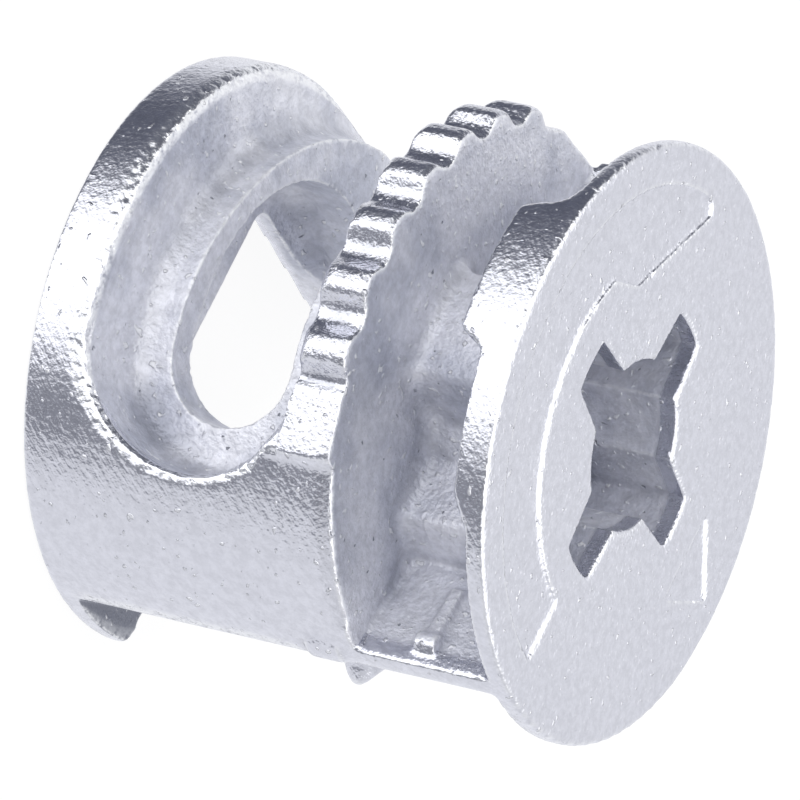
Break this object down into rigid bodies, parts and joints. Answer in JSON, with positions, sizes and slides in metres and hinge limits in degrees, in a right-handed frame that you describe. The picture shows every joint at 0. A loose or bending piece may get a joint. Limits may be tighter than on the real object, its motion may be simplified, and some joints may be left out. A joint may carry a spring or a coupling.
{
  "type": "cam lock housing",
  "caption": "Zinc die-cast furniture cam: a drum with a spiral bolt groove, a toothed middle plate and a drive face with a cross recess, turned to pull a bolt head in.",
  "frame": {"origin": "centre of the bottom disc's lower face, on the drum's turning axis", "axes": "+Z along the turning axis, up to the drive face; +X out of the middle of the bolt mouth"},
  "size_m": [0.015, 0.015, 0.0127],
  "materials": {
    "zinc_casting": "bright as-cast zinc, slightly pitted, edges softened by tumbling"
  },
  "bodies": {
    "root": {"cam_housing": "zinc_casting"}
  },
  "joints": []
}
